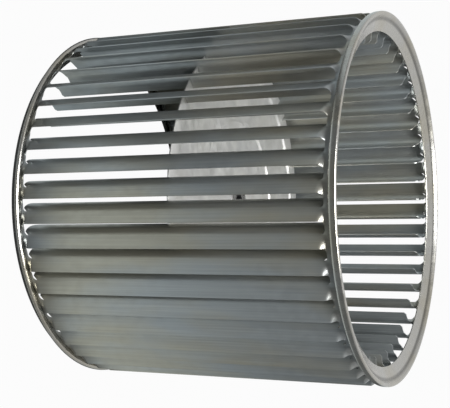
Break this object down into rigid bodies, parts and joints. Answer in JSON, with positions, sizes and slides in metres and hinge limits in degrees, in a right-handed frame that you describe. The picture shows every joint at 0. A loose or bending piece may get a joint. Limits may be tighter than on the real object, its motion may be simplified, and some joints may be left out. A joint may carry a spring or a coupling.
{
  "type": "blower wheel",
  "caption": "Double inlet blower wheel of bare galvanised steel, with forward curved blades lanced from one strip, dished end rings, a centre disc and a bored hub.",
  "frame": {"origin": "centre of the lower end ring's outer plane, on the shaft's axis", "axes": "+Z along the shaft from the lower end ring to the upper one, the set screw points to +X"},
  "size_m": [0.2828, 0.2828, 0.254],
  "materials": {
    "blade_sheet": "bare galvanised sheet, satin, with fine rolling lines along the blades",
    "ring_sheet": "bare galvanised sheet, pressed and rolled, satin",
    "disc_sheet": "bare galvanised sheet, pressed, satin",
    "hub_steel": "turned, zinc plated",
    "screw_steel": "dark hardened steel"
  },
  "bodies": {
    "root": {"blade_strip": "blade_sheet", "end_ring_lower": "ring_sheet", "end_ring_upper": "ring_sheet", "centre_disc": "disc_sheet", "hub": "hub_steel", "set_screw": "screw_steel"}
  },
  "joints": []
}
